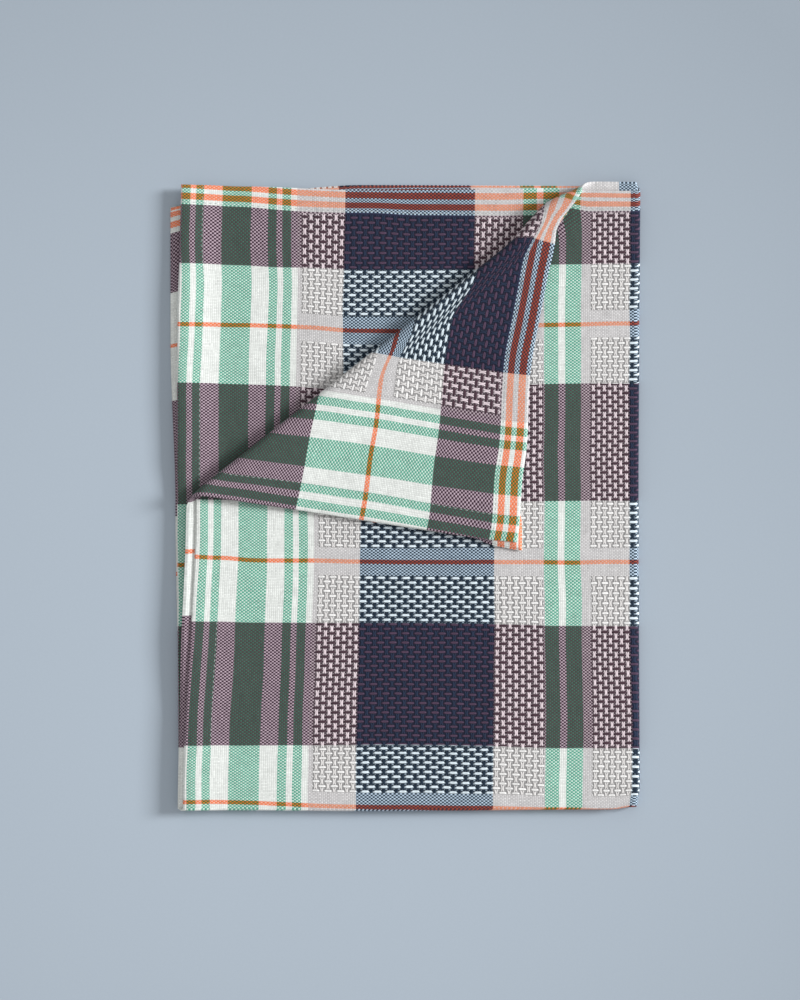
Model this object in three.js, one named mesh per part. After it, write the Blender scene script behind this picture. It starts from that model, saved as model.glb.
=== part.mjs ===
// A woven cotton dishcloth, folded in four, with one corner of its upper two layers turned back.
// It is one sheet with turned hems, so it is one solid that runs back and forth through the stack.
// Millimetres. +X points to the closed right fold, +Y away from the closed lower fold, and +Z up
// from the surface that the stack lies on. The origin is the middle of the stack's footprint.

import * as THREE from 'three';

// The sheet: its cut size follows from the stack, about 520 wide and 700 long from hem to hem.
const THICKNESS = 1.2;
const GAP = 0.45; // air between neighbouring layers
const PITCH = THICKNESS + GAP;
const PAIR_MIDDLE = THICKNESS / 2 + PITCH / 2; // height between the two lowest layers
const STACK_MIDDLE = THICKNESS / 2 + 1.5 * PITCH; // height between the lower and the upper pair

// Edges that run up the stack are given by their x at the heights UP_AT, and edges that run across it
// by their y at the places ACROSS_AT.
const UP_AT = [176, 160, 100, 0, -176];
const ACROSS_AT = [-132, -110, -92, -20, 130];
const CREASE_UP = 3; // the places in those tables nearest to the crease's two ends
const CREASE_ACROSS = 4;

// The two straight folds: where each bend begins.
const FOLDS = {
  right: [129.6, 129.5, 129.0, 128.6, 129.2],
  lower: [-175.7, -175.6, -175.5, -176.0, -175.0],
};

// The hems of each layer, from the surface up: its side hem and its end hem.
const LAYERS = {
  bottom: {
    side: [-132.7, -132.7, -132.7, -129.9, -126.8],
    end: [162.4, 166.0, 171.0, 176.0, 175.5],
  },
  third: {
    side: [-126.3, -126.6, -128.4, -128.8, -128.0],
    end: [175.9, 175.6, 175.0, 172.8, 174.5],
  },
  second: {
    side: [-121.5, -123.0, -123.0, -123.2, -128.2],
    end: [174.0, 175.0, 177.2, 177.2, 177.2],
  },
  top: {
    side: [-122.5, -119.0, -118.0, -117.9, -125.2],
    end: [176.5, 175.0, 172.0, 172.0, 172.0],
  },
};
const MEAN = { hemX: -125, hemY: 176, foldX: 129, foldY: -176 }; // lines to look the tables up by

// The turned corner: its crease runs between two points of the stack's outline, as seen from above.
const CREASE_LOW = new THREE.Vector2(-122.3, -0.3);
const CREASE_HIGH = new THREE.Vector2(96.7, 172.6);
const TURN = {
  radius: 1.8, // of the top layer's middle, inside the roll
  settle: 45, // how far from the roll the turned layers come down to rest
  slant: 0.136, // slip along the crease for each millimetre away from it
  bow: 8, // how far the turned end hem bows inwards
  bowReach: 120, // how far from that hem the bow dies out
};

// Loft: how much thicker the stack stands than its pressed height, along its hems and in waves.
const LOFT = { hem: 0.12, hemWidth: 22, wave: 0.05, waveX: 41, waveY: 53 };

// Soft corner: how far the corner between the two closed folds draws in, and over what reach.
const SOFT_CORNER = { draw: 2, reach: 14 };

// Grid lines over the sheet.
const SIDE_STEPS = 8; // across a lower layer, hem to fold
const BEND_STEPS = 6; // round a straight fold
const INNER_STEPS = 4; // across an upper layer, fold to turned corner
const FOOT_STEPS = 6; // up a layer, lower fold to turned corner
const FOOT_EASE = 1.6; // how much closer those steps lie near the fold
const CORNER_STEPS = 14; // each way over the turned corner
const ROLL_STEPS = 5; // of those, the steps round the roll

const lerp = THREE.MathUtils.lerp;
const smooth = THREE.MathUtils.smoothstep;

// Value at place of a table whose stations run up or down, eased between neighbours.
function lookUp(stations, values, place) {
  const rising = stations[1] > stations[0] ? 1 : -1;
  let value = values[0];
  for (let k = 1; k < stations.length; k += 1) {
    const from = rising * stations[k - 1];
    const to = rising * stations[k];
    value = lerp(value, values[k], smooth(rising * place, from, to));
  }
  return value;
}

// The crease as a line: its direction, and the normal that points at the corner before it is turned.
const outerRadius = TURN.radius + PITCH + THICKNESS / 2;
const alongCrease = CREASE_HIGH.clone().sub(CREASE_LOW).normalize();
const acrossCrease = new THREE.Vector2(-alongCrease.y, alongCrease.x);
const turnStart = CREASE_LOW.clone().addScaledVector(acrossCrease, -outerRadius);

// How the crease cuts an upper layer, as shares of the way from its folds to its hems.
function creaseCut(layer, middleRadius) {
  const hem = new THREE.Vector2(layer.side[CREASE_UP], layer.end[CREASE_ACROSS]);
  const rightX = FOLDS.right[0];
  const lowerY = FOLDS.lower[0];
  const slope = alongCrease.y / alongCrease.x;
  const sideY = turnStart.y + (hem.x - turnStart.x) * slope;
  const endX = turnStart.x + (hem.y - turnStart.y) / slope;
  const depth = hem.clone().sub(turnStart).dot(acrossCrease);
  const bend = (Math.PI * middleRadius) / depth;
  const lines = [];
  for (let k = 0; k <= 2 * CORNER_STEPS; k += 1) {
    const past = k - CORNER_STEPS;
    if (past <= 0) {
      lines.push(k / CORNER_STEPS);
    } else if (past <= ROLL_STEPS) {
      lines.push(1 + (bend * past) / ROLL_STEPS);
    } else {
      lines.push(lerp(1 + bend, 2, (past - ROLL_STEPS) / (CORNER_STEPS - ROLL_STEPS)));
    }
  }
  return {
    across: (endX - rightX) / (hem.x - rightX),
    up: (sideY - lowerY) / (hem.y - lowerY),
    lines,
  };
}

const CUTS = {
  top: creaseCut(LAYERS.top, TURN.radius),
  second: creaseCut(LAYERS.second, TURN.radius + PITCH),
};

// Shares across and up an upper layer of the grid point that is i lines from the right fold and
// j lines from the lower fold. Over the turned corner the lines slide to run beside the crease.
function cornerShares(cut, i, j) {
  const a = Math.max(0, i - INNER_STEPS);
  const b = Math.max(0, j - FOOT_STEPS);
  const line = cut.lines[a + b];
  let across = 0;
  if (a + b > CORNER_STEPS && a + b < 2 * CORNER_STEPS) {
    across = 1 - ((CORNER_STEPS - a) / (2 * CORNER_STEPS - a - b)) * (2 - line);
  } else if (a + b > 0) {
    across = (a / (a + b)) * line;
  }
  const up = line - across;
  return {
    across: i < INNER_STEPS ? (cut.across * i) / INNER_STEPS : lerp(cut.across, 1, across),
    up: j < FOOT_STEPS ? cut.up * (j / FOOT_STEPS) ** FOOT_EASE : lerp(cut.up, 1, up),
  };
}

// The sheet's grid: columns run from the lower pair's side hem, round the right fold, to the upper
// pair's side hem; rows run from the end hem of the inner layers, round the lower fold, to the other.
const UPPER_COLUMNS = INNER_STEPS + CORNER_STEPS;
const HALF_ROWS = FOOT_STEPS + CORNER_STEPS;
const COLUMNS = SIDE_STEPS + BEND_STEPS + UPPER_COLUMNS;
const ROWS = 2 * HALF_ROWS + BEND_STEPS;

// Where a grid point lies on the sheet: its shares of the way to the hems, and its angles of bend.
function gridPoint(column, row) {
  const i = Math.max(0, column - SIDE_STEPS - BEND_STEPS);
  const far = row > HALF_ROWS + BEND_STEPS / 2;
  const j = Math.max(0, far ? row - HALF_ROWS - BEND_STEPS : HALF_ROWS - row);
  const own = cornerShares(far ? CUTS.top : CUTS.second, i, j);
  const other = cornerShares(far ? CUTS.second : CUTS.top, i, j);
  const apart = Math.min(1, j / FOOT_STEPS);
  const upperShare = lerp((own.across + other.across) / 2, own.across, apart);
  const columnTurn = THREE.MathUtils.clamp((column - SIDE_STEPS) / BEND_STEPS, 0, 1);
  const rowTurn = THREE.MathUtils.clamp((row - HALF_ROWS) / BEND_STEPS, 0, 1);
  return {
    across: column < SIDE_STEPS ? 1 - column / SIDE_STEPS : upperShare,
    up: own.up,
    rightAngle: columnTurn * Math.PI,
    lowerAngle: rowTurn * Math.PI,
  };
}

// The folded place of a grid point before the corner is turned; side is the offset to the right side
// of the cloth.
function foldFlat(point, side) {
  const lift = PITCH / 2 + side;
  const pairZ = PAIR_MIDDLE + lift * Math.cos(point.lowerAngle);
  const radius = STACK_MIDDLE - pairZ;
  const farShare = (1 - Math.cos(point.lowerAngle)) / 2;
  const upperShare = (1 - Math.cos(point.rightAngle)) / 2;
  const meanX = lerp(MEAN.foldX, MEAN.hemX, point.across);
  const meanY = lerp(MEAN.foldY, MEAN.hemY, point.up);
  const hemOf = (edge, stations, place) => {
    const at = (layer) => lookUp(stations, layer[edge], place);
    const lower = lerp(at(LAYERS.third), at(LAYERS.bottom), farShare);
    const upper = lerp(at(LAYERS.second), at(LAYERS.top), farShare);
    return lerp(lower, upper, upperShare);
  };
  const x = lerp(lookUp(UP_AT, FOLDS.right, meanY), hemOf('side', UP_AT, meanY), point.across);
  const y = lerp(lookUp(ACROSS_AT, FOLDS.lower, meanX), hemOf('end', ACROSS_AT, meanX), point.up);
  return new THREE.Vector3(
    x + radius * Math.sin(point.rightAngle),
    y - lift * Math.sin(point.lowerAngle),
    STACK_MIDDLE - radius * Math.cos(point.rightAngle),
  );
}

// Turns the corner of the upper two layers back over the crease, and lets it settle on the stack.
function turnCorner(place, point) {
  const isUpper = point.rightAngle === Math.PI;
  const fromStart = new THREE.Vector2(place.x, place.y).sub(turnStart);
  const across = fromStart.dot(acrossCrease);
  if (!isUpper || across <= 0) {
    return place;
  }
  const isTop = point.lowerAngle === Math.PI;
  const middleRadius = isTop ? TURN.radius : TURN.radius + PITCH;
  const axisZ = STACK_MIDDLE + 1.5 * PITCH + TURN.radius;
  const radius = axisZ - place.z;
  const bend = Math.PI * middleRadius;
  const angle = Math.min(1, across / bend) * Math.PI;
  const beyond = Math.max(0, across - bend);
  const drop = (2 * TURN.radius - PITCH) * smooth(beyond, 0, TURN.settle);
  const turned = turnStart.clone();
  turned.addScaledVector(alongCrease, fromStart.dot(alongCrease) + TURN.slant * beyond);
  turned.addScaledVector(acrossCrease, radius * Math.sin(angle) - beyond);
  const cut = isTop ? CUTS.top : CUTS.second;
  const hemShare = THREE.MathUtils.clamp((1 - point.across) / (1 - cut.across), 0, 1);
  const hemDistance = (1 - point.up) * (MEAN.hemY - MEAN.foldY);
  const nearHem = 1 - smooth(hemDistance, 0, TURN.bowReach);
  turned.x -= TURN.bow * Math.sin(hemShare * Math.PI) * nearHem * smooth(beyond, 0, TURN.settle);
  return new THREE.Vector3(turned.x, turned.y, axisZ - radius * Math.cos(angle) - drop);
}

// Loft and soft corner: gentle changes over the whole stack, which leave its underside flat.
function loosen(place) {
  const hemX = 1 - smooth(place.x, MEAN.hemX, MEAN.hemX + LOFT.hemWidth);
  const hemY = smooth(place.y, MEAN.hemY - LOFT.hemWidth, MEAN.hemY);
  const wave = Math.sin(place.x / LOFT.waveX) * Math.cos(place.y / LOFT.waveY);
  const fromCorner = Math.hypot(place.x - MEAN.foldX, place.y - MEAN.foldY);
  const draw = SOFT_CORNER.draw * (1 - smooth(fromCorner, 0, SOFT_CORNER.reach));
  return new THREE.Vector3(
    place.x - draw,
    place.y + draw,
    place.z * (1 + LOFT.hem * Math.max(hemX, hemY) + LOFT.wave * wave),
  );
}

// Faces of one side of the sheet: the diagonals of the cells run with the crease in both halves.
function sheetFaces() {
  const faces = Array.from(new THREE.PlaneGeometry(1, 1, COLUMNS, ROWS).index.array);
  for (let cell = 0; cell < COLUMNS * ROWS; cell += 1) {
    if (cell / COLUMNS < ROWS / 2) {
      const [a, b, d, , c] = faces.slice(6 * cell, 6 * cell + 6);
      faces.splice(6 * cell, 6, a, b, c, a, c, d);
    }
  }
  return faces;
}

// The closed body: the right side, the reverse, and the walls between their free edges.
function clothGeometry() {
  const positions = [];
  const perSide = (COLUMNS + 1) * (ROWS + 1);
  for (const side of [THICKNESS / 2, -THICKNESS / 2]) {
    for (let k = 0; k < perSide; k += 1) {
      const point = gridPoint(k % (COLUMNS + 1), Math.floor(k / (COLUMNS + 1)));
      positions.push(...loosen(turnCorner(foldFlat(point, side), point)).toArray());
    }
  }
  const faces = sheetFaces();
  const reverse = [];
  for (let k = 0; k < faces.length; k += 3) {
    reverse.push(faces[k] + perSide, faces[k + 2] + perSide, faces[k + 1] + perSide);
  }
  const walls = [];
  const addWall = (from, to) => walls.push(to, from, from + perSide, to, from + perSide, to + perSide);
  for (let c = 0; c < COLUMNS; c += 1) {
    addWall(c + 1, c);
    addWall(ROWS * (COLUMNS + 1) + c, ROWS * (COLUMNS + 1) + c + 1);
  }
  for (let r = 0; r < ROWS; r += 1) {
    addWall(r * (COLUMNS + 1), (r + 1) * (COLUMNS + 1));
    addWall((r + 1) * (COLUMNS + 1) + COLUMNS, r * (COLUMNS + 1) + COLUMNS);
  }
  const geometry = new THREE.BufferGeometry();
  geometry.setAttribute('position', new THREE.Float32BufferAttribute(positions, 3));
  geometry.setIndex([...faces, ...reverse, ...walls]);
  geometry.computeBoundingBox();
  const middle = geometry.boundingBox.getCenter(new THREE.Vector3());
  geometry.translate(-middle.x, -middle.y, 0);
  geometry.computeVertexNormals();
  return geometry;
}

const cotton = new THREE.MeshStandardMaterial({ color: 0xb9bdb8, roughness: 0.9, metalness: 0 });

const cloth = new THREE.Mesh(clothGeometry(), cotton);
cloth.name = 'cloth';

const dishcloth = new THREE.Group();
dishcloth.add(cloth);

export default dishcloth;
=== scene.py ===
"""A woven cotton dishcloth, folded in four with one corner turned back, on a plain pale table.

The cloth is one thin sheet that follows the folds of its solid. Tables give lengths in
millimetres; Blender's own units are metres. Across (u) runs from one side hem to the other and
along (v) from one end hem to the other.
"""
import math

import bmesh
import bpy
from mathutils import Matrix, Vector


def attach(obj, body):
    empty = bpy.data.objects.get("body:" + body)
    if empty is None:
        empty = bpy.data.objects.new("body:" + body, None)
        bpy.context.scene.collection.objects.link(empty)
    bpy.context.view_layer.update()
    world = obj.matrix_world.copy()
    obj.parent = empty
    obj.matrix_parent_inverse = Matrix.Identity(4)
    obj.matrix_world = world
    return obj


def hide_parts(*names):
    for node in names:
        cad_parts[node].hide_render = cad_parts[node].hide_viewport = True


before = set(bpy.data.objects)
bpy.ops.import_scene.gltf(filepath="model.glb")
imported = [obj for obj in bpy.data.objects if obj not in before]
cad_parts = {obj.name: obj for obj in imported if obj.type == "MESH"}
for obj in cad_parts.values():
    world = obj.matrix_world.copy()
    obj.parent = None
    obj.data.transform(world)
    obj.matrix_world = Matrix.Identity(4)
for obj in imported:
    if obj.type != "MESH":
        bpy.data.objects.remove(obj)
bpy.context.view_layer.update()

MM = 0.001

# ---------------------------------------------------------------- the folded stack

SHEET = {"width": 516, "length": 704, "thickness": 1.1, "hem_thickness": 1.6, "hem": 15}
HEM_EASE = (14, 17)  # distances from the rim between which a hem thins to the single cloth
PITCH = 1.65  # from one layer's middle to the next
HALF_LAYER = 0.6  # half a layer and a little slack: the lowest layer's middle is this high
PAIR_MIDDLE = HALF_LAYER + PITCH / 2
STACK_MIDDLE = HALF_LAYER + 1.5 * PITCH

# Edges that run up the stack: their x at the heights UP_AT. Edges across it: their y at ACROSS_AT.
UP_AT = (176, 160, 150, 100, 0, -176)
ACROSS_AT = (-132, -110, -92, -20, 130)
CREASE_UP, CREASE_ACROSS = 4, 4  # the places in those tables nearest to the crease's two ends
RIGHT_FOLD = (129.6, 129.5, 129.4, 129.0, 128.6, 129.2)
LOWER_FOLD = (-175.7, -175.6, -175.5, -176.0, -175.0)
MEAN = {"hem_x": -125, "hem_y": 176, "fold_x": 129, "fold_y": -176}
MEAN_ACROSS = MEAN["fold_x"] - MEAN["hem_x"]
MEAN_UP = MEAN["hem_y"] - MEAN["fold_y"]

# Creep: how many millimetres further from its hem each stripe lies than an even spread would put it.
# "at" gives distances from the hem, and each row the creep there: at one height of the stack for the
# creep across the sheet, and at one x for the creep along it.
EVEN = {"at": (0, 350), "rows": ((0, (0, 0)),)}
TOP_CREEP_U = {"at": (0, 15, 41, 65, 94, 168, 196, 217, 248), "rows": (
    (0, (-0.4, 0.6, 0.9, 1.1, 0.6, -1.2, -1.8, -2.0, -0.2)),
    (-140, (0.4, 0.6, 0.1, -0.3, -0.8, -2.4, -3.6, -3.7, -1.3)))}
TOP_CREEP_V = {"at": (0, 4, 11, 45, 110, 180, 214, 248, 318, 353), "rows": (
    (-113, (0, 0, 0, 0, 0, 2.5, 3.8, 1.4, -1.5, 0.0)),
    (-9, (0, 1, 2, 2, 2, 2.8, 2.7, 1.5, -0.3, -2.4)),
    (115, (1.0, 3.1, 4.6, 3.8, 2.9, 3.4, 1.9, -0.9, -3.4, -5.0)))}
THIRD_CREEP_U = {"at": (0, 15, 25, 42, 65, 94, 150), "rows": (
    (145, (1.8, 2.4, 1.6, 1.5, 1.6, 0.4, 0)),
    (116, (0.2, 0.5, 0.6, 0.3, 0.1, 0, 0)),
    (60, (2.0, 2.2, 1.8, 1.3, 0.8, 0, 0)))}
THIRD_CREEP_V = {"at": (0, 5, 11, 45, 79, 113, 350), "rows": (
    (-121, (4.7, 5.0, 5.1, 1.8, 1.3, 2.3, 0)),
    (-95, (4.0, 4.3, 4.5, 1.4, 1.4, 1.9, 0)),
    (-66, (2.5, 3.0, 3.3, 0.9, 1.2, 1.3, 0)),
    (-21, (1.8, 2.0, 3.1, 0.9, 0.1, 0.3, 0)),
    (14, (1.5, 1.1, 1.6, 0.8, 0.1, 0.0, 0)),
    (115, (0.5, 0.5, 0.5, 0.5, 0, 0, 0)))}
SECOND_CREEP_U = {"at": (0, 6, 16, 29, 46, 68, 104, 184, 208, 216, 224, 254), "rows": (
    (170, (2.3, 1.2, -1.0, -3.5, -4.6, -6.0, -9.7, -16.3, -14.8, -6, 0.5, 1)),
    (76, (0, 0, -2.3, -2.4, -4.4, -6.8, -7.4, -7.4, -6, -5, -4, 0)),
    (0, (0, 0, 0, 0, 0, 0, 0, 0, 0, 0, 0, 0)))}
SECOND_CREEP_V = {"at": (0, 8, 14, 46, 80, 116, 168, 178, 205, 240, 348), "rows": (
    (-113, (1.2, 1.1, 2.0, -1.3, -1.8, -2.3, 0, 5.4, 10, 8, 0)),
    (115, (1.2, 1.1, 2.0, 0, 0, 0, 0, 0, 0, 0, 4.2)))}
BOTTOM_CREEP_V = {"at": (0, 4, 11, 45, 110, 180, 214, 248, 318, 352), "rows": (
    (-60, (0, 1.0, 1.2, -4.5, 0, 0, 0, 0, 0, 0)),
    (115, (1.0, 3.1, 4.6, 3.8, 2.9, 3.4, 1.9, -0.9, -3.3, -4.2)))}

# Each layer's side hem and end hem, where its bends begin on the flat sheet, and its creep. A far
# layer ends in the sheet's far end hem; an upper layer ends in the side hem of the folded-over half.
LAYERS = {
    "bottom": {
        "upper": False, "far": True, "fold_u": 259.7, "fold_v": 352.3,
        "side": (-132.7, -132.7, -132.7, -132.7, -129.9, -126.8),
        "end": (162.4, 166, 171, 176, 175.5),
        "creep_u": EVEN, "creep_v": BOTTOM_CREEP_V,
    },
    "third": {
        "upper": False, "far": False, "fold_u": 259.7, "fold_v": 349.7,
        "side": (-126.3, -126.6, -126.9, -128.4, -128.8, -128),
        "end": (175.9, 175.6, 175, 172.8, 174.5),
        "creep_u": THIRD_CREEP_U, "creep_v": THIRD_CREEP_V,
    },
    "second": {
        "upper": True, "far": False, "fold_u": 262.3, "fold_v": 347.9,
        "side": (-120, -121, -121, -121, -121.4, -128.2),
        "end": (176.3, 177, 177.2, 177.2, 177.2),
        "creep_u": SECOND_CREEP_U, "creep_v": SECOND_CREEP_V,
    },
    "top": {
        "upper": True, "far": True, "fold_u": 267.5, "fold_v": 350.5,
        "side": (-121.2, -120.6, -118, -118, -117.9, -125.2),
        "end": (176.5, 175, 172, 172, 172),
        "creep_u": TOP_CREEP_U, "creep_v": TOP_CREEP_V,
    },
}

# The turned corner: its crease, the top layer's radius there, how far past the bend it has come down
# onto the stack, and how far it slides along the crease for each millimetre past the bend.
CREASE_LOW = Vector((-122.3, -0.3))
CREASE_HIGH = Vector((96.7, 172.6))
TURN = {"radius": 1.8, "settle": 45, "slant": 0.136}
# How far the turned end hem bows inwards, by share of the way from the side hem to the crease.
BOW_AT = (0, 0.2, 0.5, 0.7, 0.85, 0.93, 1)
BOW = (0, 4.2, 10.6, 10.2, 8.2, 2.8, 0)
BOW_REACH, BOW_SETTLE = 160, 15  # how far from the hem it reaches, and over how much past the bend

# How far the crease swells outwards, by distance from its high end.
PUCKER_AT = (0, 9, 19, 29, 50)
PUCKER = (0.3, 3.4, 5.2, 3.6, 0)
PUCKER_REACH, PUCKER_SETTLE = 14, 26  # how far it reaches before the crease and past it
PUCKER_UPPER = 0.99  # before the crease it holds only this far round onto the upper layers

# Below the crease the second layer's side hem swells out past the top layer's, and stands as high.
SWELL_AT = (14, -2, -70, -140)
SWELL = (0, 1.9, 1.9, 0)
SWELL_LIFT, SWELL_WIDTH = 0.75, 4.5  # lift as a share of the swell, and the rim's width that lifts

# Above the crease the third layer's side hem curls up off the layer below.
CURL_AT = (176, 60, 26, 4, -16)
CURL = (2.0, 2.0, 1.6, 0.8, 0)
CURL_WIDTH = 26

# Loft along the hems and in slow waves, and the soft corner between the two closed folds.
LOFT = {"hem": 0.25, "hem_width": 26, "wave": 0.05, "wave_x": 41, "wave_y": 53}
SOFT_CORNER = {"draw": 1.3, "reach": 13}

# Grid lines over the sheet. Its columns run from the lower layers' side hem to the upper layers',
# and its rows from the near end hem to the far one.
EDGE = (0.0, 0.08, 0.3, 0.7)  # distances from a hem's rim of the lines that round it
EDGE_WIDTH = 1.2
EDGE_THINNEST = 0.12  # the rim's thickness, as a share of the hem's
SIDE_STEPS = 60  # across the lower layers
BEND_STEPS = 10  # round the right fold, and round the lower one
INNER_STEPS = 12  # across an upper layer, as far as the crease's high end
FOOT_STEPS = 44  # up a layer, as far as the crease's low end
FOOT_EASE = 1.25  # above 1, rows lie closer together towards the lower fold
CORNER_STEPS = 48  # from there to the hems
ROLL_STEPS = 12  # of those, round the crease


def lerp(a, b, share):
    return a + (b - a) * share


def smooth(value, low, high):
    share = min(1.0, max(0.0, (value - low) / (high - low)))
    return share * share * (3 - 2 * share)


def look_up(stations, values, place):
    """The table's value at place, eased between its stations."""
    rising = 1 if stations[1] > stations[0] else -1
    value = values[0]
    for k in range(1, len(stations)):
        share = smooth(rising * place, rising * stations[k - 1], rising * stations[k])
        value = lerp(value, values[k], share)
    return value


OUTER_RADIUS = TURN["radius"] + PITCH + HALF_LAYER
ALONG = (CREASE_HIGH - CREASE_LOW).normalized()
ACROSS = Vector((-ALONG.y, ALONG.x))
TURN_START = CREASE_LOW - ACROSS * OUTER_RADIUS


def crease_cut(layer, middle_radius):
    """How the crease cuts an upper layer: shares of the way to its hems, and the lines beside it."""
    hem = Vector((layer["side"][CREASE_UP], layer["end"][CREASE_ACROSS]))
    slope = ALONG.y / ALONG.x
    side_y = TURN_START.y + (hem.x - TURN_START.x) * slope
    end_x = TURN_START.x + (hem.y - TURN_START.y) / slope
    bend = math.pi * middle_radius / (hem - TURN_START).dot(ACROSS)
    lines = []
    for k in range(2 * CORNER_STEPS + 1):
        past = k - CORNER_STEPS
        if past <= 0:
            lines.append(k / CORNER_STEPS)
        elif past <= ROLL_STEPS:
            lines.append(1 + bend * past / ROLL_STEPS)
        else:
            lines.append(lerp(1 + bend, 2, (past - ROLL_STEPS) / (CORNER_STEPS - ROLL_STEPS)))
    return {
        "across": (end_x - RIGHT_FOLD[0]) / (hem.x - RIGHT_FOLD[0]),
        "up": (side_y - LOWER_FOLD[0]) / (hem.y - LOWER_FOLD[0]),
        "lines": lines,
    }


CUTS = {
    "top": crease_cut(LAYERS["top"], TURN["radius"]),
    "second": crease_cut(LAYERS["second"], TURN["radius"] + PITCH),
}


def corner_shares(cut, i, j):
    """Shares across and up an upper layer of its grid point i lines from the right fold and j lines
    from the lower fold. In the corner, points with the same a + b lie on one line along the crease.
    """
    a = max(0, i - INNER_STEPS)
    b = max(0, j - FOOT_STEPS)
    line = cut["lines"][a + b]
    across = 0
    if CORNER_STEPS < a + b < 2 * CORNER_STEPS:
        across = 1 - (CORNER_STEPS - a) / (2 * CORNER_STEPS - a - b) * (2 - line)
    elif a + b > 0:
        across = a / (a + b) * line
    up = line - across
    return (
        cut["across"] * i / INNER_STEPS if i < INNER_STEPS else lerp(cut["across"], 1, across),
        cut["up"] * (j / FOOT_STEPS) ** FOOT_EASE if j < FOOT_STEPS else lerp(cut["up"], 1, up),
    )


EDGE_LINES = len(EDGE)
HALF_ROWS = FOOT_STEPS + CORNER_STEPS
COLUMNS = EDGE_LINES + SIDE_STEPS + BEND_STEPS + INNER_STEPS + CORNER_STEPS + EDGE_LINES
ROWS = EDGE_LINES + 2 * HALF_ROWS + BEND_STEPS + EDGE_LINES


class Spot:
    """A point of the sheet: its shares of the way to the hems, and its angles of bend."""

    def __init__(self, across, up, right_angle, lower_angle):
        self.across = across
        self.up = up
        self.right_angle = right_angle
        self.lower_angle = lower_angle
        self.upper = (1 - math.cos(right_angle)) / 2
        self.far = (1 - math.cos(lower_angle)) / 2

    def blend(self, value):
        """A value of the four layers, blended round the bends."""
        shares = {
            "third": (1 - self.upper) * (1 - self.far), "bottom": (1 - self.upper) * self.far,
            "second": self.upper * (1 - self.far), "top": self.upper * self.far,
        }
        return sum(share * value(LAYERS[name]) for name, share in shares.items() if share > 0)

    def mean_place(self):
        return (lerp(MEAN["fold_x"], MEAN["hem_x"], self.across),
                lerp(MEAN["fold_y"], MEAN["hem_y"], self.up))

    def to_hems(self):
        """Distances along the sheet to the side hem's rim and to the end hem's rim."""
        return MEAN_ACROSS * (1 - self.across), MEAN_UP * (1 - self.up)

    def place_across(self, layer):
        """Millimetres across the flat sheet, creep included, if this spot were on the layer."""
        flat = SHEET["width"] - layer["fold_u"] if layer["upper"] else layer["fold_u"]
        from_hem = flat * (1 - self.across)
        from_hem += creep(layer["creep_u"], from_hem, self.mean_place()[1])
        return SHEET["width"] - from_hem if layer["upper"] else from_hem

    def place_along(self, layer):
        """Millimetres along the flat sheet, creep included, if this spot were on the layer."""
        flat = SHEET["length"] - layer["fold_v"] if layer["far"] else layer["fold_v"]
        from_hem = flat * (1 - self.up)
        from_hem += creep(layer["creep_v"], from_hem, self.mean_place()[0])
        return SHEET["length"] - from_hem if layer["far"] else from_hem

    def sheet_place(self):
        """Millimetres across and along the flat sheet."""
        return self.blend(self.place_across), self.blend(self.place_along)

    def sheet_to_hem(self, is_end):
        """Millimetres over the flat sheet to the nearer end hem's rim, or side hem's rim."""
        place = self.sheet_place()[1 if is_end else 0]
        return min(place, SHEET["length" if is_end else "width"] - place)


def creep(table, from_hem, place):
    """Creep at a distance from the hem, eased between the table's rows."""
    values = [look_up(table["at"], row, from_hem) for _, row in table["rows"]]
    return look_up([at for at, _ in table["rows"]], values, place) if len(values) > 1 else values[0]


def grid_spot(column, row):
    """The spot of a grid point. The lines near a rim carry on those of the cloth inside it."""
    c = min(max(column - EDGE_LINES, 0), COLUMNS - 2 * EDGE_LINES)
    r = min(max(row - EDGE_LINES, 0), ROWS - 2 * EDGE_LINES)
    i = max(0, c - SIDE_STEPS - BEND_STEPS)
    far = r > HALF_ROWS + BEND_STEPS / 2
    j = max(0, r - HALF_ROWS - BEND_STEPS if far else HALF_ROWS - r)
    own = corner_shares(CUTS["top" if far else "second"], i, j)
    other = corner_shares(CUTS["second" if far else "top"], i, j)
    # the two upper layers' columns meet at the lower fold
    across = lerp((own[0] + other[0]) / 2, own[0], min(1, j / FOOT_STEPS))
    if c < SIDE_STEPS:
        across = 1 - c / SIDE_STEPS
    spot = Spot(
        across,
        own[1],
        math.pi * min(1, max(0, (c - SIDE_STEPS) / BEND_STEPS)),
        math.pi * min(1, max(0, (r - HALF_ROWS) / BEND_STEPS)),
    )
    spot.across *= 1 - EDGE_WIDTH / MEAN_ACROSS
    spot.up *= 1 - EDGE_WIDTH / MEAN_UP
    past_column = max(EDGE_LINES - column, column - COLUMNS + EDGE_LINES)
    past_row = max(EDGE_LINES - row, row - ROWS + EDGE_LINES)
    if past_column > 0:
        spot.across = 1 - EDGE[EDGE_LINES - past_column] / MEAN_ACROSS
    if past_row > 0:
        spot.up = 1 - EDGE[EDGE_LINES - past_row] / MEAN_UP
    return spot


def thickness_at(spot):
    """The sheet's thickness: fuller in the hems, and rounded off at their rims."""
    nearest = min(spot.to_hems())
    full = lerp(SHEET["hem_thickness"], SHEET["thickness"], smooth(nearest, *HEM_EASE))
    if nearest < EDGE_WIDTH:
        inside = 1 - nearest / EDGE_WIDTH
        return full * max(EDGE_THINNEST, math.sqrt(1 - inside * inside))
    return full


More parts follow.
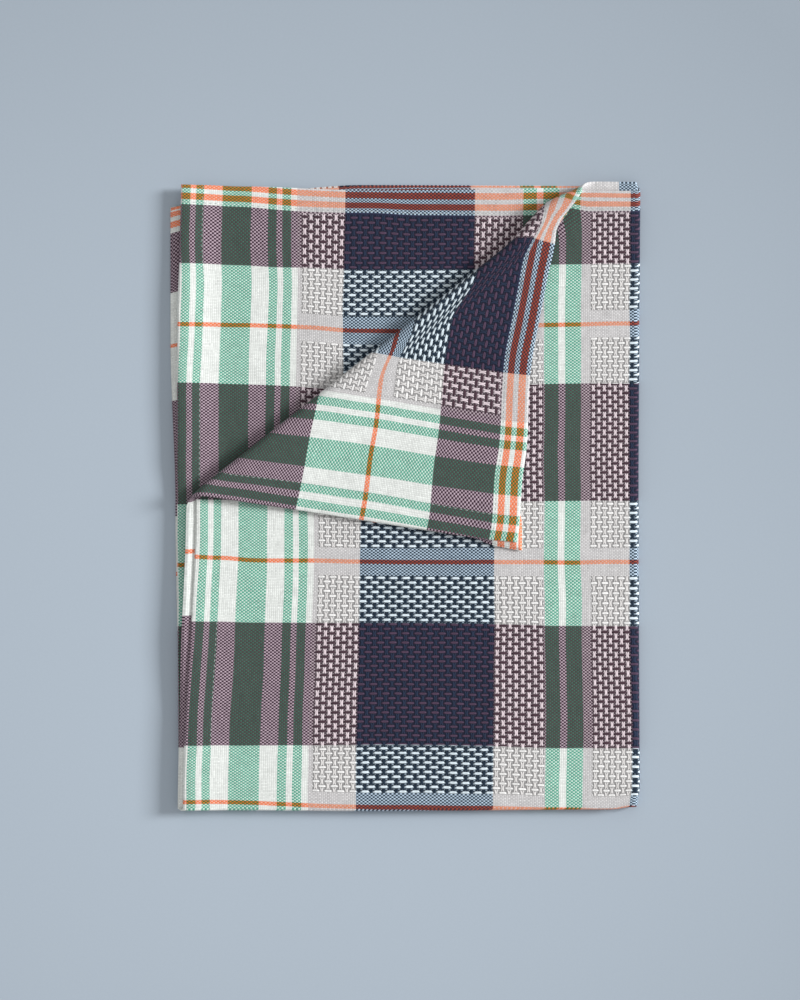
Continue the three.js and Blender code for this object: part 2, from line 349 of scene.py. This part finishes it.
def fold_flat(spot, side):
    """The folded place of a spot, side millimetres off its middle towards the cloth's right side."""
    lift = PITCH / 2 + side
    pair_z = PAIR_MIDDLE + lift * math.cos(spot.lower_angle)
    radius = STACK_MIDDLE - pair_z
    mean_x, mean_y = spot.mean_place()
    fold_x = look_up(UP_AT, RIGHT_FOLD, mean_y)
    fold_y = look_up(ACROSS_AT, LOWER_FOLD, mean_x)
    hem_x = spot.blend(lambda layer: look_up(UP_AT, layer["side"], mean_y))
    hem_y = spot.blend(lambda layer: look_up(ACROSS_AT, layer["end"], mean_x))
    swell = look_up(SWELL_AT, SWELL, mean_y) * spot.upper * (1 - spot.far)
    curl = look_up(CURL_AT, CURL, mean_y) * (1 - spot.upper) * (1 - spot.far)
    from_rim = spot.to_hems()[0]
    return Vector((
        lerp(fold_x, hem_x - swell, spot.across) + radius * math.sin(spot.right_angle),
        lerp(fold_y, hem_y, spot.up) - lift * math.sin(spot.lower_angle),
        STACK_MIDDLE - radius * math.cos(spot.right_angle)
        + swell * SWELL_LIFT * (1 - smooth(from_rim, 0, SWELL_WIDTH))
        + curl * (1 - smooth(from_rim, 0, CURL_WIDTH)),
    ))


def turn_corner(place, spot):
    """Turns the corner of the upper two layers back over the crease and lets it settle."""
    from_start = place.xy - TURN_START
    across = from_start.dot(ACROSS)
    pucker = look_up(PUCKER_AT, PUCKER, (CREASE_HIGH - CREASE_LOW).length - from_start.dot(ALONG))
    if spot.right_angle < math.pi or across <= 0:
        if spot.upper > PUCKER_UPPER:
            place.xy += ACROSS * pucker * smooth(across, -PUCKER_REACH, 0)
        return place
    is_top = spot.lower_angle == math.pi
    middle_radius = TURN["radius"] if is_top else TURN["radius"] + PITCH
    axis_z = STACK_MIDDLE + 1.5 * PITCH + TURN["radius"]
    radius = axis_z - place.z
    bend = math.pi * middle_radius
    angle = math.pi * min(1, across / bend)
    beyond = max(0, across - bend)
    drop = (2 * TURN["radius"] - PITCH) * smooth(beyond, 0, TURN["settle"])
    turned = TURN_START + ALONG * (from_start.dot(ALONG) + TURN["slant"] * beyond)
    turned += ACROSS * (radius * math.sin(angle) - beyond)
    turned += ACROSS * pucker * (1 - smooth(beyond, 0, PUCKER_SETTLE))
    cut = CUTS["top" if is_top else "second"]
    hem_share = min(1, max(0, (1 - spot.across) / (1 - cut["across"])))
    near_hem = 1 - smooth(spot.to_hems()[1], 0, BOW_REACH)
    turned.x -= look_up(BOW_AT, BOW, hem_share) * near_hem * smooth(beyond, 0, BOW_SETTLE)
    return Vector((turned.x, turned.y, axis_z - radius * math.cos(angle) - drop))


def loosen(place):
    """Loft and the soft corner, which leave the stack's underside flat."""
    hem_x = 1 - smooth(place.x, MEAN["hem_x"], MEAN["hem_x"] + LOFT["hem_width"])
    hem_y = smooth(place.y, MEAN["hem_y"] - LOFT["hem_width"], MEAN["hem_y"])
    wave = math.sin(place.x / LOFT["wave_x"]) * math.cos(place.y / LOFT["wave_y"])
    from_corner = math.hypot(place.x - MEAN["fold_x"], place.y - MEAN["fold_y"])
    draw = SOFT_CORNER["draw"] * (1 - smooth(from_corner, 0, SOFT_CORNER["reach"]))
    loft = 1 + LOFT["hem"] * max(hem_x, hem_y) + LOFT["wave"] * wave
    return Vector((place.x - draw, place.y + draw, place.z * loft))


def cloth_point(spot, above=0.0):
    """The place of the cloth's right side at a spot, in metres, or of a point above it."""
    side = SHEET["thickness"] / 2 + above
    return loosen(turn_corner(fold_flat(spot, side), spot)) * MM


def link(name, data):
    made = bpy.data.objects.new(name, data)
    bpy.context.scene.collection.objects.link(made)
    return made


def finished_mesh(bm, name):
    mesh = bpy.data.meshes.new(name)
    bm.to_mesh(mesh)
    bm.free()
    return mesh


def sheet_of_cloth():
    """The cloth's right side as one grid laid over the folds, thickened towards the reverse."""
    bm = bmesh.new()
    bmesh.ops.create_grid(bm, x_segments=COLUMNS, y_segments=ROWS, size=1)
    flat = bm.loops.layers.uv.new("sheet")
    weights = bm.verts.layers.deform.verify()
    grid = {}
    for vert in bm.verts:
        column = round((vert.co.x + 1) / 2 * COLUMNS)
        row = ROWS - round((vert.co.y + 1) / 2 * ROWS)
        grid[column, row] = vert
    places = {}
    for (column, row), vert in grid.items():
        spot = grid_spot(column, row)
        thickness = thickness_at(spot)
        sunk = 0.0
        if min(spot.to_hems()) < EDGE_WIDTH:  # a rim is rounded on both its sides
            sunk = (SHEET["hem_thickness"] - thickness) / 2
        vert.co = cloth_point(spot, -sunk)
        vert[weights][0] = thickness / SHEET["hem_thickness"]
        places[vert] = [value * MM for value in spot.sheet_place()]
    for face in bm.faces:
        face.smooth = True
        for loop in face.loops:
            loop[flat].uv = places[loop.vert]
    split_along_crease(bm, grid)
    piece = link("cloth_sheet", finished_mesh(bm, "cloth"))
    piece.vertex_groups.new(name="thickness")
    solid = piece.modifiers.new("thickness", "SOLIDIFY")
    solid.thickness = SHEET["hem_thickness"] * MM
    solid.offset = -1
    solid.vertex_group = "thickness"
    solid.use_rim = True
    solid.material_offset = 1
    solid.material_offset_rim = 0
    return piece


def split_along_crease(bm, grid):
    """Splits the turned corner's cells along the crease, so that they bend round the roll."""
    first = EDGE_LINES + SIDE_STEPS + BEND_STEPS + INNER_STEPS
    for column in range(first, COLUMNS - EDGE_LINES):
        for row in range(EDGE_LINES, EDGE_LINES + CORNER_STEPS):
            for ends in (((column, row), (column + 1, row + 1)),
                         ((column + 1, ROWS - row - 1), (column, ROWS - row))):
                a, b = (grid[end] for end in ends)
                shared = [face for face in a.link_faces if b in face.verts]
                bmesh.utils.face_split(shared[0], a, b)


# The hems' stitching, one line of it from_rim along each hem.
STITCH = {"pitch": 3.0, "length": 2.0, "width": 0.42, "height": 0.28, "from_rim": 14.9}


def hem_stitches():
    """Every stitch of the hems that lies on a straight run of a layer, as one piece."""
    bm = bmesh.new()
    for right_angle in (0, math.pi):
        for lower_angle in (0, math.pi):
            for is_end in (False, True):
                add_stitch_line(bm, is_end, right_angle, lower_angle)
    mesh = finished_mesh(bm, "stitching")
    mesh.shade_smooth()
    return link("hem_stitching", mesh)


def add_stitch_line(bm, is_end, right_angle, lower_angle):
    """The stitches of one layer's end hem or side hem."""
    hem_run, inward_run = (MEAN_ACROSS, MEAN_UP) if is_end else (MEAN_UP, MEAN_ACROSS)

    def spot_at(along, inward):
        shares = (1 - along / hem_run, 1 - inward / inward_run)
        return Spot(*(shares if is_end else reversed(shares)), right_angle, lower_angle)

    for k in range(int(hem_run / STITCH["pitch"])):
        middle = (k + 0.5) * STITCH["pitch"]
        ends = []
        for along in (middle - STITCH["length"] / 2, middle + STITCH["length"] / 2):
            # creep moves the line over the folded cloth, but not over the flat sheet
            near = spot_at(along, STITCH["from_rim"])
            crept = near.sheet_to_hem(is_end) - STITCH["from_rim"]
            ends.append(spot_at(along, STITCH["from_rim"] - crept))
        add_stitch(bm, *ends)


def add_stitch(bm, start, stop):
    """One stitch, a short plump thread that lies on the cloth between two spots."""
    foot, head = cloth_point(start), cloth_point(stop)
    along = (head - foot).normalized()
    out = (cloth_point(start, above=0.5) - foot).normalized()
    beside = out.cross(along).normalized()
    out = along.cross(beside)
    size = (head - foot).length / 2, STITCH["width"] * MM / 2, STITCH["height"] * MM / 2
    turn = Matrix((along, beside, out)).transposed().to_4x4()
    place = Matrix.Translation((foot + head) / 2) @ turn @ Matrix.Diagonal((*size, 1))
    bmesh.ops.create_icosphere(bm, subdivisions=1, radius=1, matrix=place)


# ---------------------------------------------------------------- materials


class Wire:
    """A node socket that takes part in sums the way a number does."""

    def __init__(self, finish, socket):
        self.finish = finish
        self.socket = socket

    def math(self, operation, *others, clamp=False):
        return self.finish.math(operation, self, *others, clamp=clamp)

    def __add__(self, other):
        return self.math("ADD", other)

    def __sub__(self, other):
        return self.math("SUBTRACT", other)

    def __mul__(self, other):
        return self.math("MULTIPLY", other)

    def __truediv__(self, other):
        return self.math("DIVIDE", other)

    def __rsub__(self, other):
        return self.finish.math("SUBTRACT", other, self)

    def __neg__(self):
        return self.math("MULTIPLY", -1.0)

    __radd__ = __add__
    __rmul__ = __mul__


class Finish:
    """A material under construction."""

    def __init__(self, name):
        self.material = bpy.data.materials.new(name)
        self.material.use_nodes = True
        self.tree = self.material.node_tree
        self.tree.nodes.clear()

    def node(self, kind, inputs=(), out=0, **settings):
        """Adds a node: its settings first, then the values or links of its sockets."""
        made = self.tree.nodes.new(kind)
        for name, value in settings.items():
            setattr(made, name, value)
        pairs = inputs.items() if isinstance(inputs, dict) else enumerate(inputs)
        for key, value in pairs:
            socket = made.inputs[key]
            if isinstance(value, Wire):
                self.tree.links.new(value.socket, socket)
            elif value is not None:
                socket.default_value = (*value, 1) if socket.type == "RGBA" and len(value) == 3 else value
        return Wire(self, made.outputs[out]) if len(made.outputs) else None

    def math(self, operation, *values, clamp=False):
        return self.node("ShaderNodeMath", values, operation=operation, use_clamp=clamp)

    def vectors(self, operation, *values, out=0):
        return self.node("ShaderNodeVectorMath", values, out=out, operation=operation)

    def scaled(self, colour, factor):
        return self.vectors("SCALE", colour, None, None, factor)

    def noise(self, place, scale, detail, out=0):
        return self.node("ShaderNodeTexNoise", {"Vector": place, "Scale": scale, "Detail": detail}, out=out)

    def mix(self, factor, a, b):
        """A colour between a and b."""
        return self.node("ShaderNodeMix", {0: factor, 6: a, 7: b}, out=2, data_type="RGBA")

    def blend(self, factor, a, b):
        """A number between a and b."""
        return self.node("ShaderNodeMix", {0: factor, 2: a, 3: b})

    def step(self, value, at, soft=0.3):
        """0 below at, 1 above it, over a soft edge."""
        return self.math("MULTIPLY_ADD", value, 1 / soft, 0.5 - at / soft, clamp=True)

    def band(self, value, low, high, soft=0.3):
        """1 between low and high, 0 outside them."""
        return self.step(value, low, soft) - self.step(value, high, soft)

    def bands(self, value, ranges, soft=0.3):
        """1 within any of the ranges, which lie apart."""
        total = None
        for low, high in ranges:
            one = self.band(value, low, high, soft)
            total = one if total is None else total + one
        return total

    def surface(self, colour, roughness, normal=None, sheen=0.0):
        inputs = {"Base Color": colour, "Roughness": roughness, "Normal": normal,
                  "Specular IOR Level": 0.25, "Sheen Weight": sheen, "Sheen Roughness": 0.5}
        shader = self.node("ShaderNodeBsdfPrincipled", inputs)
        self.node("ShaderNodeOutputMaterial", {"Surface": shader})
        return self.material


# Colour of the yarn on top where a warp yarn crosses a weft yarn, as light reflected: first with the warp
# on top, then with the weft. These colours hold painted light and shade: light that passes between close
# yarns tints each by the other, and a yarn among dark ones lies darker in their shade.
WARP_UP, WEFT_UP = 0, 1
CROSSINGS = {
    "white": {
        "white": ((0.83, 0.86, 0.83), (0.84, 0.87, 0.84)),
        "plum": ((0.49, 0.38, 0.445), (0.035, 0.010, 0.026)),
        "orange": ((0.88, 0.44, 0.33), (0.92, 0.20, 0.07)),
    },
    "green": {
        "white": ((0.07, 0.365, 0.252), (0.605, 0.795, 0.70)),
        "plum": ((0.056, 0.138, 0.104), (0.072, 0.050, 0.054)),
        "orange": ((0.04, 0.15, 0.03), (0.62, 0.18, 0.03)),
    },
    "beige": {
        "white": ((0.56, 0.545, 0.55), (0.69, 0.68, 0.68)),
        "plum": ((0.48, 0.39, 0.43), (0.05, 0.02, 0.04)),
        "orange": ((0.70, 0.42, 0.35), (0.78, 0.27, 0.14)),
    },
    "navy": {
        "white": ((0.010, 0.026, 0.046), (0.47, 0.595, 0.72)),
        "plum": ((0.009, 0.022, 0.058), (0.028, 0.020, 0.058)),
        "orange": ((0.04, 0.02, 0.03), (0.33, 0.06, 0.035)),
    },
}
# The same for the floats of the huck blocks, which stand up and catch more light.
FLOATS = {
    "beige": {
        "white": ((0.73, 0.71, 0.70), (0.90, 0.89, 0.88)),
        "plum": ((0.74, 0.63, 0.67), (0.07, 0.035, 0.05)),
    },
    "navy": {
        "white": ((0.010, 0.024, 0.045), (0.77, 0.88, 0.95)),
        "plum": ((0.014, 0.024, 0.056), (0.080, 0.045, 0.085)),
    },
}

# Warp stripes, in millimetres from a side hem's rim; the cloth is alike both ways from its middle.
WARP_STRIPES = (
    ("green", 2.5, 7.4), ("green", 10.7, 15.3), ("green", 25.2, 41.7), ("green", 51.5, 56.4),
    ("green", 59.7, 64.7), ("beige", 68.1, 94.1), ("navy", 94.1, 168.1), ("beige", 168.1, 195.7),
    ("green", 195.7, 203.6), ("green", 207.3, 216.3), ("beige", 216.3, 245.5), ("navy", 245.5, 300),
)
# Weft bands, in millimetres from an end hem's rim.
WEFT_BANDS = (
    ("orange", 3.2, 6.9), ("orange", 9.7, 13.4), ("plum", 16.2, 45.8), ("orange", 78.4, 80.8),
    ("plum", 113.4, 181.0), ("orange", 213.6, 216.0), ("plum", 248.6, 316.2),
)
# One more orange line, from the far end hem's rim, and on the reverse the edge of that turned-in hem.
MIDDLE_LINE = (348.6, 351.0)
TURNED_LINE = (-1, 2.2)

# The huck weave: cells in which weft floats and warp floats take turns. A float is two strands that
# reach along it from its middle. In shares of a cell, each is half_width from its middle to its side
# and lies waist off the float's middle line, and splay more than that one cell further along. Cells
# are counted from_u from a side hem's rim and from_v from an end hem's.
CELL = {"u": 3.364, "v": 2.56, "threads": 3.0, "from_u": 94.1, "from_v": 45.8}
WEFT_FLOAT = {"reach": 0.55, "waist": 0.12, "splay": -0.28, "half_width": 0.16}
WARP_FLOAT = {"reach": 0.62, "waist": 0.09, "splay": 0.26, "half_width": 0.15}
FLOAT_END = 0.26  # how softly a float dives at its ends
# Huck lies in these stretches from a side hem's rim, but for the plain bands from an end hem's rim.
HUCK_U = ((70.55, 195.0), (221.9, 300))
PLAIN_V = ((0, 17.2), (71.8, 87.4), (207.0, 222.6))
PLAIN_MIDDLE = (342.0, 357.6)  # from the far end hem's rim
BLOCK_EDGE = 0.4
SHARPNESS = {"plain": 2.6, "float": 3.0, "strand": 5.0}  # of the edges where one yarn hides another

SWAY = {"scale": 24.0, "reach": 0.8}  # how the threads stray from straight lines
# Shares of its colour that each place keeps.
SHADE = {"gap": 0.82, "yarn": 0.24, "under_floats": 0.42, "float_side": 0.75, "float_top": 0.3}
# Tones of the threads: how fast they change along one and from one to the next, and how much.
TONE = {"stretch": 0.16, "apart": 3.7, "warp_seed": 900.5, "weft_seed": 0.5, "least": 0.63, "range": 0.75}
BUMP = {"yarn": 0.07, "float": 0.36, "wave": 0.6, "wave_scale": 0.045}  # heights in millimetres


class FlatPlace:
    """Where a spot lies on the flat sheet, in millimetres, with the sway of its threads."""

    def __init__(self, weave):
        place = weave.node("ShaderNodeUVMap", uv_map="sheet")
        reach = SWAY["reach"]
        sway = weave.noise(place, SWAY["scale"], 1.0, out=1)
        sway = weave.vectors("MULTIPLY_ADD", sway, (2 * reach, 2 * reach, 0), (-reach, -reach, 0))
        self.point = weave.vectors("MULTIPLY_ADD", place, (1 / MM, 1 / MM, 0), sway)
        self.u = weave.node("ShaderNodeSeparateXYZ", (self.point,))
        self.v = weave.node("ShaderNodeSeparateXYZ", (self.point,), out=1)
        self.side = weave.math("MINIMUM", self.u, SHEET["width"] - self.u)
        self.far_end = SHEET["length"] - self.v
        self.end = weave.math("MINIMUM", self.v, self.far_end)
        self.threads_u = self.u * (CELL["threads"] / CELL["u"])
        self.threads_v = self.v * (CELL["threads"] / CELL["v"])


def yarns_at(weave, place, reverse):
    """Masks of the coloured yarns that run here, by name; the reverse shows the turned-in hems."""
    def runs(yarn, distance, table):
        return weave.bands(distance, [(low, high) for kind, low, high in table if kind == yarn])

    yarns = {yarn: runs(yarn, place.side, WARP_STRIPES) for yarn in ("green", "beige", "navy")}
    yarns |= {yarn: runs(yarn, place.end, WEFT_BANDS) for yarn in ("plum", "orange")}
    yarns["orange"] += weave.band(place.far_end, *MIDDLE_LINE)
    if reverse:
        yarns["green"] *= weave.step(place.side, SHEET["hem"])
        yarns["orange"] *= weave.step(place.v, SHEET["hem"])
        yarns["orange"] += weave.band(place.far_end, *TURNED_LINE)
    return yarns


def yarn_colour(weave, yarns, table, which):
    """The colour of the warp or the weft in a table of crossings, where these yarns cross."""
    by_warp = {}
    for yarn, crossings in table.items():
        by_warp[yarn] = weave.mix(yarns["plum"], crossings["white"][which], crossings["plum"][which])
        if "orange" in crossings:
            by_warp[yarn] = weave.mix(yarns["orange"], by_warp[yarn], crossings["orange"][which])
    colour = by_warp.pop("white", by_warp["beige"])
    for yarn, own in by_warp.items():
        colour = weave.mix(yarns[yarn], colour, own)
    return colour


def colour_on_top(weave, yarns, table, warp_up):
    """The warp's colour where warp_up is 1, and the weft's where it is 0."""
    weft = yarn_colour(weave, yarns, table, WEFT_UP)
    warp = yarn_colour(weave, yarns, table, WARP_UP)
    return weave.mix(warp_up, weft, warp)


def huck_blocks(weave, place):
    """1 in the huck blocks, 0 in plain weave."""
    blocks = weave.bands(place.side, HUCK_U, BLOCK_EDGE)
    for low, high in PLAIN_V:
        blocks = blocks * (1 - weave.band(place.end, low, high, BLOCK_EDGE))
    return blocks * (1 - weave.band(place.far_end, *PLAIN_MIDDLE, BLOCK_EDGE))


def huck_floats(weave, place):
    """Heights of the warp's floats and the weft's, from 0 beside them to 1 on their strands."""
    cell_u = (place.side - CELL["from_u"]) / CELL["u"]
    cell_v = (place.end - CELL["from_v"]) / CELL["v"]
    column = cell_u.math("FLOOR")
    row = cell_v.math("FLOOR")

    def height(shape, along, across):
        apart = along * along * shape["splay"] + shape["waist"]
        off = (across.math("ABSOLUTE") - apart) / shape["half_width"]
        body = weave.math("SUBTRACT", 1.0, off * off, clamp=True)
        return body * weave.step(-along.math("ABSOLUTE"), -shape["reach"], FLOAT_END)

    along_warp = (cell_v - 0.5 - column - 1).math("WRAP", 1.0, -1.0)
    along_weft = (cell_u - 0.5 - row).math("WRAP", 1.0, -1.0)
    return (height(WARP_FLOAT, along_warp, cell_u - column - 0.5),
            height(WEFT_FLOAT, along_weft, cell_v - row - 0.5))


def thread_tone(weave, along, line, seed):
    """Each thread is lighter or darker than the next, and thick and thin along its length."""
    across = line.math("FLOOR") * TONE["apart"] + seed
    spot = weave.node("ShaderNodeCombineXYZ", (along * TONE["stretch"], across, 0.0))
    return weave.noise(spot, 1.0, 2.0)


def woven_cloth(name, reverse=False):
    """The plaid, in plain weave with blocks of huck."""
    weave = Finish(name)
    place = FlatPlace(weave)
    yarns = yarns_at(weave, place, reverse)

    # plain weave, in which warp and weft take turns on top
    crossing = (place.threads_u * math.pi).math("SINE") * (place.threads_v * math.pi).math("SINE")
    plain_up = weave.math("MULTIPLY_ADD", crossing, SHARPNESS["plain"], 0.5, clamp=True)
    plain_height = crossing.math("ABSOLUTE")

    # huck
    blocks = huck_blocks(weave, place)
    warp_float, weft_float = (height * blocks for height in huck_floats(weave, place))
    floats = weave.math("MAXIMUM", weft_float, warp_float)
    is_float = weave.math("MULTIPLY", floats, SHARPNESS["float"], clamp=True)
    warp_over = warp_float - weft_float
    float_up = weave.math("MULTIPLY_ADD", warp_over, SHARPNESS["strand"], 0.5, clamp=True)

    # gaps between the yarns lie in shade, deeper under the floats
    ground = colour_on_top(weave, yarns, CROSSINGS, plain_up)
    raised = colour_on_top(weave, yarns, FLOATS, float_up)
    ground_shade = plain_height * SHADE["yarn"] + SHADE["gap"] - blocks * SHADE["under_floats"]
    float_shade = floats * SHADE["float_top"] + SHADE["float_side"]
    colour = weave.mix(is_float, weave.scaled(ground, ground_shade), weave.scaled(raised, float_shade))

    warp_up = weave.blend(is_float, plain_up, float_up)
    weft_tone = thread_tone(weave, place.u, place.threads_v, TONE["weft_seed"])
    warp_tone = thread_tone(weave, place.v, place.threads_u, TONE["warp_seed"])
    tone = weave.blend(warp_up, weft_tone, warp_tone)
    colour = weave.scaled(colour, tone * TONE["range"] + TONE["least"])

    # the yarns stand up, and the cloth doesn't lie quite flat
    waves = weave.noise(place.point, BUMP["wave_scale"], 2.0)
    height = weave.math("MAXIMUM", plain_height * BUMP["yarn"], floats * BUMP["float"])
    height = height + waves * BUMP["wave"]
    normal = weave.node("ShaderNodeBump", {"Height": height, "Distance": MM, "Strength": 1.0})
    return weave.surface(colour, roughness=0.9, normal=normal, sheen=0.1)


THREAD = {"colour": (0.44, 0.48, 0.47), "ply_scale": 2500.0, "least": 0.72, "range": 0.5}


def stitching_thread():
    """Twisted sewing thread, with painted shade for the grooves of its ply: a little darker in fine random
    flecks.
    """
    thread = Finish("sewing_thread")
    place = thread.node("ShaderNodeTexCoord", out=3)
    # fine random flecks of painted shade, standing in for the grooves of the ply
    ply = thread.noise(place, THREAD["ply_scale"], 1.0)
    colour = thread.scaled(THREAD["colour"], ply * THREAD["range"] + THREAD["least"])
    return thread.surface(colour, roughness=0.7)


# The table's colour, grain and cloud, and a painted pool of light with painted shade that deepens away from
# it.
BOARD = {
    "colour": (0.417, 0.484, 0.558), "grain": 0.06, "grain_scale": 900.0, "cloud": 0.04, "cloud_scale": 3.0,
    "painted_light_spot": (-0.1, -0.1, 0), "painted_shade_falloff": 1.1, "deepest_painted_shade": 0.25,
}


def table_top():
    """Matt painted board with a faint grain; painted shade makes it a little darker away from a painted
    pool of light.
    """
    board = Finish("table_top")
    place = board.node("ShaderNodeTexCoord", out=3)
    grain = board.noise(place, BOARD["grain_scale"], 3.0)
    cloud = board.noise(place, BOARD["cloud_scale"], 2.0)
    # painted shade: darker with the square of the distance from the painted pool of light, up to a cap
    distance = board.vectors("DISTANCE", place, BOARD["painted_light_spot"], out=1)
    darker = board.math("MINIMUM", distance * distance * BOARD["painted_shade_falloff"], BOARD["deepest_painted_shade"])
    tone = grain * BOARD["grain"] + cloud * BOARD["cloud"] + 1.0 - darker
    return board.surface(board.scaled(BOARD["colour"], tone), roughness=0.75)


# ---------------------------------------------------------------- the cloth

cloth = sheet_of_cloth()
cloth.data.materials.append(woven_cloth("woven_cotton"))
cloth.data.materials.append(woven_cloth("woven_cotton_reverse", reverse=True))
stitching = hem_stitches()
stitching.data.materials.append(stitching_thread())
for piece in (cloth, stitching):
    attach(piece, "root")
    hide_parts("cloth")

# ---------------------------------------------------------------- table, light and camera

TABLE_SIZE = 6.0
TABLE_DROP = 0.0001  # the table lies this far below the cloth's underside


def table():
    bm = bmesh.new()
    bmesh.ops.create_grid(bm, x_segments=1, y_segments=1, size=TABLE_SIZE / 2)
    piece = link("table", finished_mesh(bm, "table"))
    piece.data.transform(Matrix.Translation((0, 0, -TABLE_DROP)))
    piece.data.materials.append(table_top())
    return piece


table()

WINDOW = {"place": (8.12, 1.9, 3.37), "size": 2.2, "power": 1050}
ROOM_LIGHT = 0.55


def window_light():
    """A square lamp, low on the right, that faces the cloth."""
    lamp = bpy.data.lights.new("window", "AREA")
    lamp.size = WINDOW["size"]
    lamp.energy = WINDOW["power"]
    holder = link("window", lamp)
    holder.location = WINDOW["place"]
    holder.rotation_euler = (-Vector(WINDOW["place"])).to_track_quat("-Z", "Y").to_euler()


window_light()

world = bpy.data.worlds.new("room")
world.use_nodes = True
background = world.node_tree.nodes["Background"]
background.inputs["Color"].default_value = (1.0, 1.0, 1.0, 1)
background.inputs["Strength"].default_value = ROOM_LIGHT
bpy.context.scene.world = world

LENS = 85.0
SENSOR = 36.0
FRAME_HEIGHT = 0.563  # metres in view, from the top of the frame to its foot
LOOK_AT = Vector((-0.003, -0.002, 0.006))
camera = bpy.data.cameras.new("camera")
camera.lens = LENS
camera.sensor_width = SENSOR
viewer = link("camera", camera)
viewer.location = LOOK_AT + Vector((0, 0, FRAME_HEIGHT * LENS / SENSOR))
scene = bpy.context.scene
scene.camera = viewer
scene.view_settings.view_transform = "Standard"
